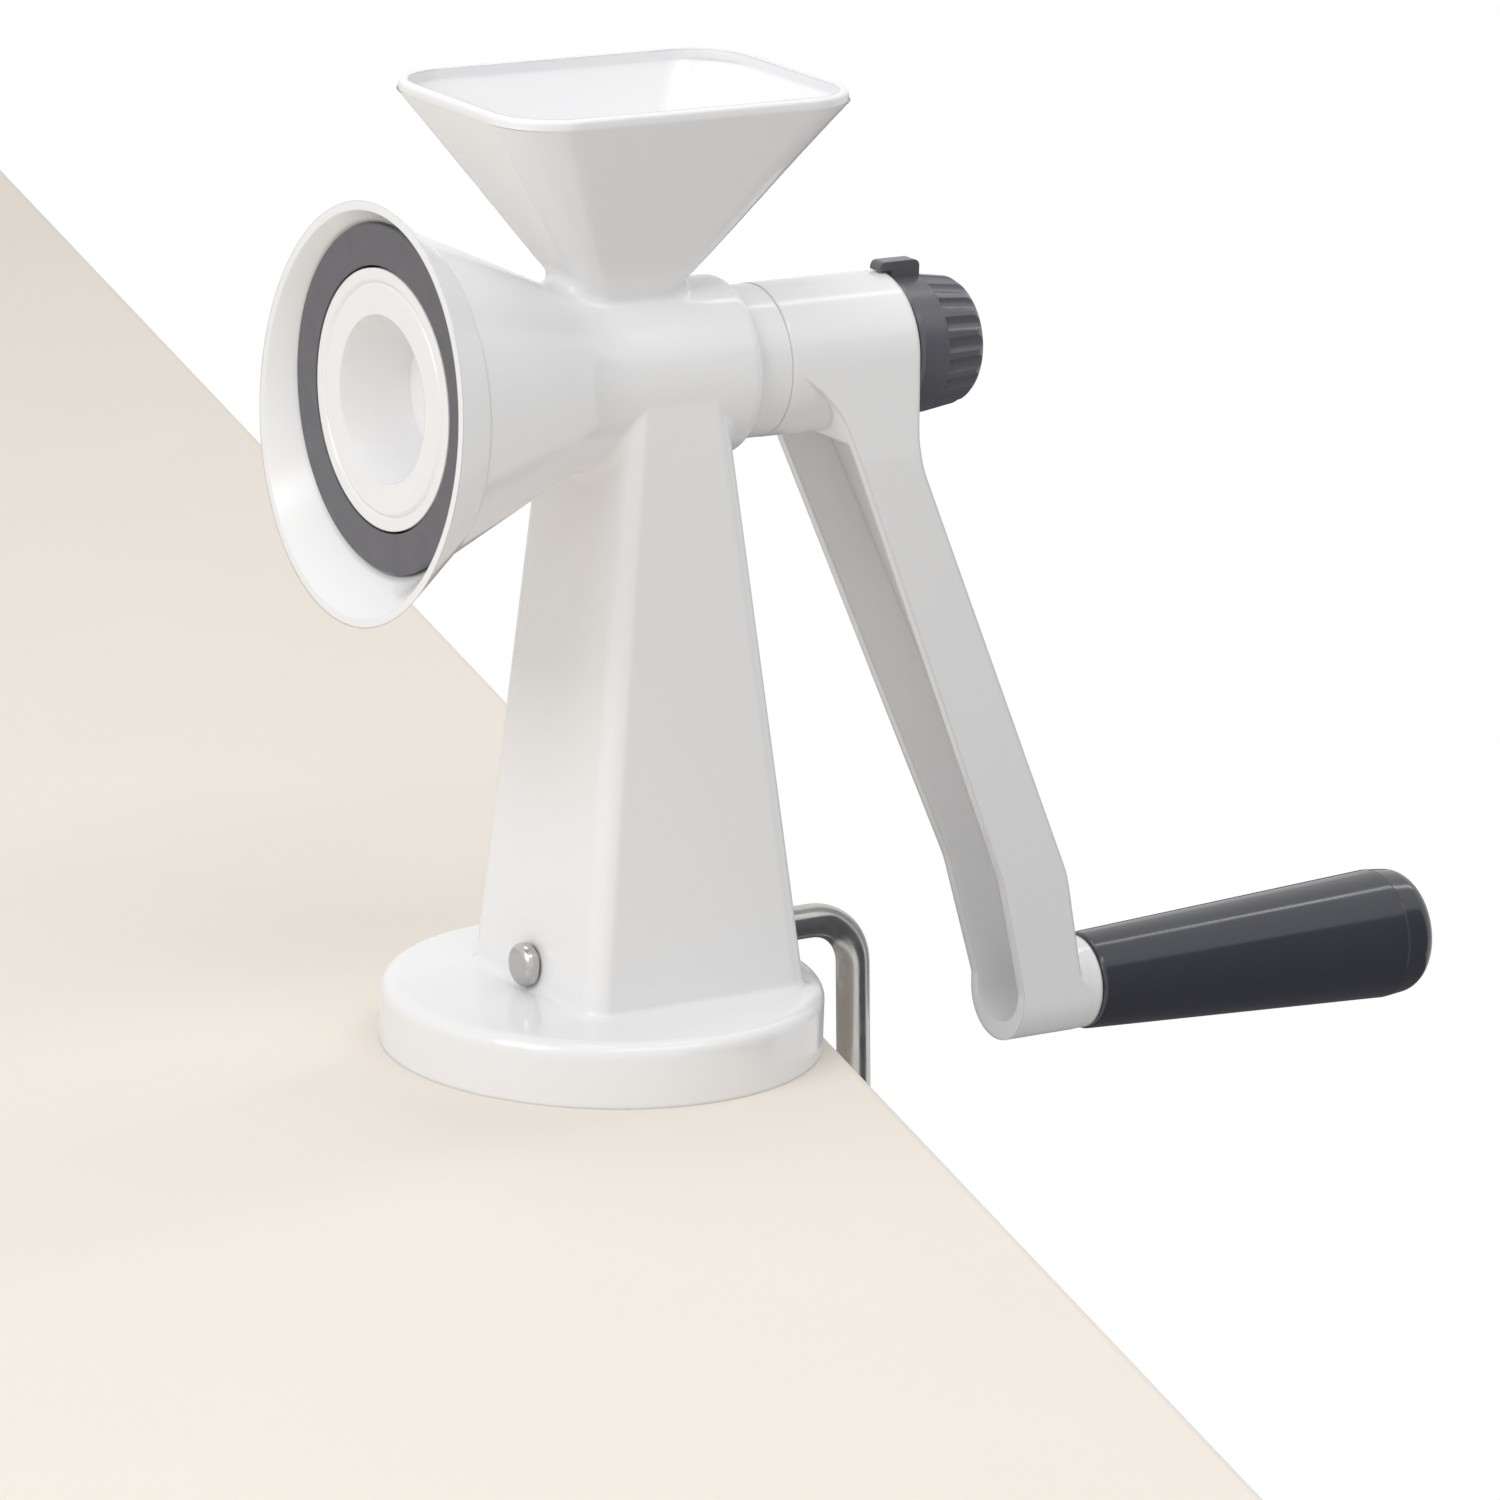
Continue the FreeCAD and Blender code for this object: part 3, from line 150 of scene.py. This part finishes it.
# Rotor: white ABS grinding cone in the ring's bore, with an acetal feed screw behind it on a steel shaft.
# The shaft is ground bright. Its square drives the cone, and a cross pin keys the feed screw to it.
def metal(name, colour, roughness, anisotropic):
    """A bare metal: its colour is its reflection, blurred by roughness and drawn out along the rod."""
    material, shader = coloured(name, colour)
    shader.inputs["Metallic"].default_value = 1.0
    shader.inputs["Anisotropic"].default_value = anisotropic
    tree = material.node_tree
    handled(tree, shader, add(tree, "ShaderNodeTexCoord"), roughness, patch_mm=5)
    return material


inner_acetal = moulded("cream acetal", "#DAD8D0", roughness=0.4,
                       edge_mm=0.3, wave_mm=6, wave_height_mm=0.003)
ground_steel = metal("ground steel", "#B9B9B6", roughness=0.3, anisotropic=0.3)
dress(thin_abs, "grinding_cone")
dress(inner_acetal, "feed_screw")
dress(ground_steel, "main_shaft", "drive_pin")


# Rear bush: white ABS collar in the back of the barrel, which carries the shaft.
# The crank's hub runs against it on a black acetal thrust washer.
black_acetal = moulded("black acetal", "#1E1E20", roughness=0.38,
                       edge_mm=0.2, wave_mm=6, wave_height_mm=0.003)
dress(thin_abs, "rear_bush")
dress(black_acetal, "thrust_washer")


# Crank arm: white ABS channel with its open side towards the column, moulded with the hub
# at the top and the grip's boss at the bottom. It has the body's finish.
dress(white_abs, "crank_arm")


# Adjusting knob: fluted cap of dark grey ABS with a finger tab, over a steel nut on the shaft's
# thread. A black washer keeps it off the crank's hub.
grey_abs = moulded("satin grey ABS", "#5B5B62", roughness=0.28,
                   edge_mm=0.4, wave_mm=8, wave_height_mm=0.005)
dress(grey_abs, "adjusting_knob")
dress(black_acetal, "knob_washer")
dress(ground_steel, "knob_nut")


# Grip: tapered hollow handle of a darker, glossier grey ABS, closed by an end cap pressed into it.
# It turns freely on a steel axle, and a push-on steel washer keeps it there.
glossy_grey_abs = moulded("glossy grey ABS", "#393A42", roughness=0.13,
                          edge_mm=0.5, wave_mm=20, wave_height_mm=0.004)
dress(glossy_grey_abs, "grip", "grip_end_cap")
dress(ground_steel, "grip_axle", "grip_washer")


# Suction lever: stainless steel rod, bent hot and polished, with a pressed cap on its end.
# An acetal eccentric pinned to its middle lifts the acetal plunger, which an acetal plate guides.
# Four steel screws hold the plate in the foot.
polished_steel = metal("polished stainless steel", "#BFBDBA", roughness=0.2, anisotropic=0.5)
dress(polished_steel, "suction_lever", "lever_end_cap")
dress(inner_acetal, "lever_cam", "suction_yoke", "cup_plate")
dress(ground_steel, "cam_pin", "plate_screws")


# Suction cup: soft black rubber under the foot. Its thick hub is moulded round the plunger's flange
# and goes down with it when the lever is raised. The real skirt then flattens on the table, but this
# thin skirt keeps one shape and stays with the body.
def placed(name, data):
    """Makes an object of a mesh, lamp or camera and puts it in the scene."""
    made = bpy.data.objects.new(name, data)
    bpy.context.scene.collection.objects.link(made)
    return made


def turned(name, radius, height, steps=128):
    """A closed profile (radius, height) carried round Z: x = r cos a, y = r sin a, z = h."""
    same_point = 1e-7
    angle = np.linspace(0, 2 * np.pi, steps, endpoint=False)[:, None]
    points = np.stack([radius * np.cos(angle), radius * np.sin(angle),
                       np.broadcast_to(height, (steps, len(height)))], -1)
    grid = np.arange(steps * len(radius)).reshape(steps, -1)
    across = np.roll(grid, -1, 0)
    faces = np.stack([grid, across, np.roll(across, -1, 1), np.roll(grid, -1, 1)], -1)
    mesh = bpy.data.meshes.new(name)
    mesh.from_pydata(points.reshape(-1, 3), [], faces.reshape(-1, 4).tolist())
    poles = bmesh.new()
    poles.from_mesh(mesh)
    bmesh.ops.remove_doubles(poles, verts=poles.verts, dist=same_point)
    poles.to_mesh(mesh)
    poles.free()
    mesh.shade_smooth()
    return placed(name, mesh)


rubber = moulded("soft black rubber", "#232325", roughness=0.55,
                 edge_mm=0.4, wave_mm=4, wave_height_mm=0.004)
cup_radius, _, cup_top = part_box("suction_cup")[1]
cup_lift = -next(j["range_m"][0] for j in frame["joints"] if j["name"] == "suction_lift")

hub_radius, hub_edge, hub_edge_points = 0.012, 0.0008, 9
turn = np.linspace(-np.pi / 2, np.pi / 2, hub_edge_points)
middle, half = (cup_lift + cup_top) / 2, (cup_top - cup_lift) / 2
hub_side = hub_radius - hub_edge + hub_edge * np.cos(turn)
hub_level = middle + (half - hub_edge) * np.sign(turn) + hub_edge * np.sin(turn)
cup_hub = turned("cup_hub", np.r_[0, hub_side, 0], np.r_[cup_lift, hub_level, cup_top])

skirt_points, skirt_thickness, skirt_sink = 25, 0.002, 0.001
skirt_rise, skirt_curve = 0.97 * cup_lift, 1.3
lip_width, lip_height, lip_edge_in, lip_edge_up = 0.006, 0.0016, 0.0005, 0.0004
out = np.linspace(0, 1, skirt_points)
skirt_start = hub_radius - skirt_sink
skirt = skirt_start + (cup_radius - lip_width - skirt_start) * out
under = skirt_rise * (1 - out) ** skirt_curve
cup_skirt = turned("cup_skirt",
                   np.r_[skirt, cup_radius - lip_edge_in, cup_radius, cup_radius, skirt[::-1]],
                   np.r_[under, 0.0, lip_edge_up, lip_height, (under + skirt_thickness)[::-1]])
for piece, body in ((cup_hub, "suction_stem"), (cup_skirt, "body")):
    piece.data.materials.append(rubber)
    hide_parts("suction_cup")
    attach(piece, body)
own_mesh(cup_skirt)


# Table: a plain pale board with its edge just past the foot, so that the crank and the lever's leg
# hang beside it. It is no part of the mill.
edge_turn, edge_reach = np.radians(-15.9), 0.056
board_length, board_depth, board_thickness = 2.0, 1.6, 0.03
board_round, board_round_steps = 0.003, 3
outward = np.array([np.cos(edge_turn), np.sin(edge_turn)])
along = np.array([-outward[1], outward[0]])
corners = [outward * edge_reach + along * side * board_length - outward * inward
           for side, inward in ((-1, 0), (1, 0), (1, board_depth), (-1, board_depth))]
board_sides = [(i, (i + 1) % 4, (i + 1) % 4 + 4, i + 4) for i in range(4)]
board_mesh = bpy.data.meshes.new("board")
board_mesh.from_pydata([(*c, z) for z in (-board_thickness, 0.0) for c in corners], [],
                       [(3, 2, 1, 0), (4, 5, 6, 7)] + board_sides)
board_mesh.materials.append(moulded("pale laminate", "#E9E2D8", roughness=0.9,
                                    edge_mm=1, wave_mm=30, wave_height_mm=0.001))
board = placed("board", board_mesh)
rounding = board.modifiers.new("rounding", "BEVEL")
rounding.width, rounding.segments = board_round, board_round_steps


# Light and background: a white studio with a large lamp on the left, a wide strip in front, a narrow
# strip on the right and a square lamp above. The camera and the reflections see a white background,
# and all other rays see a softer one.
soft_strength, white_strength = 0.55, 1.0
world = bpy.data.worlds.new("white studio")
bpy.context.scene.world = world
world.use_nodes = True
sky = world.node_tree
sky.nodes.clear()
ray = add(sky, "ShaderNodeLightPath")
seen = add(sky, "ShaderNodeMath", [(0, ray.outputs["Is Camera Ray"]), (1, ray.outputs["Is Glossy Ray"])],
           operation="MAXIMUM")
seen = add(sky, "ShaderNodeMath", [(0, seen.outputs[0]), (1, ray.outputs["Is Transmission Ray"])],
           operation="MAXIMUM")
soft = add(sky, "ShaderNodeBackground", Strength=soft_strength)
white = add(sky, "ShaderNodeBackground", Strength=white_strength)
for shade in (soft, white):
    shade.inputs["Color"].default_value = (1, 1, 1, 1)
both = add(sky, "ShaderNodeMixShader",
           [(0, seen.outputs[0]), (1, soft.outputs[0]), (2, white.outputs[0])])
add(sky, "ShaderNodeOutputWorld", [("Surface", both.outputs[0])])

lamp_aim = Vector((0, 0, 0.12))
for name, spot, wide, high, watts in (("left", (-1.7, -0.5, 1.3), 1.2, 1.2, 16),
                                      ("front", (0.1, -1.0, 1.6), 1.6, 0.25, 5.5),
                                      ("right", (1.1, 0.3, 1.5), 0.12, 1.6, 2.5),
                                      ("above", (-0.2, 0.3, 2.0), 1.0, 1.0, 7.5)):
    lamp = bpy.data.lights.new(name, "AREA")
    lamp.shape = "RECTANGLE"
    lamp.size, lamp.size_y, lamp.energy = wide, high, watts
    lamp_object = placed(name, lamp)
    lamp_object.location = spot
    lamp_object.rotation_euler = (lamp_aim - Vector(spot)).to_track_quat("-Z", "Y").to_euler()


# Dark cards: stand behind the mill and in front of it to the right, and lie below it, out of the
# picture, so that steel and gloss have something darker to reflect. They are no part of the mill.
card_low, card_back, card_front, card_right = -0.8, 0.9, -1.05, 1.6
behind_rise, front_rise = 0.82, 1.4
front_near, front_far = (0.25, card_front, card_low), (0.95, -0.4, card_low)
card_paper = moulded("dark card", "#6C6C70", roughness=0.9,
                     edge_mm=1, wave_mm=30, wave_height_mm=0.001)
for name, first, second, rise in (
        ("card_behind", (-card_right, card_back, card_low), (card_right, card_back, card_low),
         (0, 0, behind_rise)),
        ("card_front", front_near, front_far, (0, 0, front_rise)),
        ("card_below", (0, card_front, card_low), (card_right, card_front, card_low),
         (0, card_back - card_front, 0))):
    card_mesh = bpy.data.meshes.new(name)
    first, second, rise = np.array([first, second, rise], float)
    card_mesh.from_pydata([first, second, second + rise, first + rise], [], [(0, 1, 2, 3)])
    card_mesh.materials.append(card_paper)
    card = placed(name, card_mesh)
    card.visible_camera = card.visible_diffuse = card.visible_shadow = False


# Camera: turned round the mill, raised and rolled as in the photograph (angles in radians),
# with a long lens at the distance that the photograph's perspective gives.
view_turn, view_rise, view_roll = -0.57, 0.275, 0.0347
film_width_mm, lens_mm = 36, 192
camera_place = Vector((-0.972, -1.5791, 0.5976))
back = Vector((np.sin(view_turn) * np.cos(view_rise),
               -np.cos(view_turn) * np.cos(view_rise),
               np.sin(view_rise)))
level = Vector((np.cos(view_turn), np.sin(view_turn), 0))
upright = back.cross(level)
right = level * np.cos(view_roll) + upright * np.sin(view_roll)
up = upright * np.cos(view_roll) - level * np.sin(view_roll)
facing = Matrix((right, up, back)).transposed().to_4x4()
camera = placed("camera", bpy.data.cameras.new("camera"))
camera.data.sensor_width, camera.data.lens = film_width_mm, lens_mm
camera.matrix_world = Matrix.Translation(camera_place) @ facing
bpy.context.scene.camera = camera
bpy.context.scene.view_settings.view_transform = "Standard"
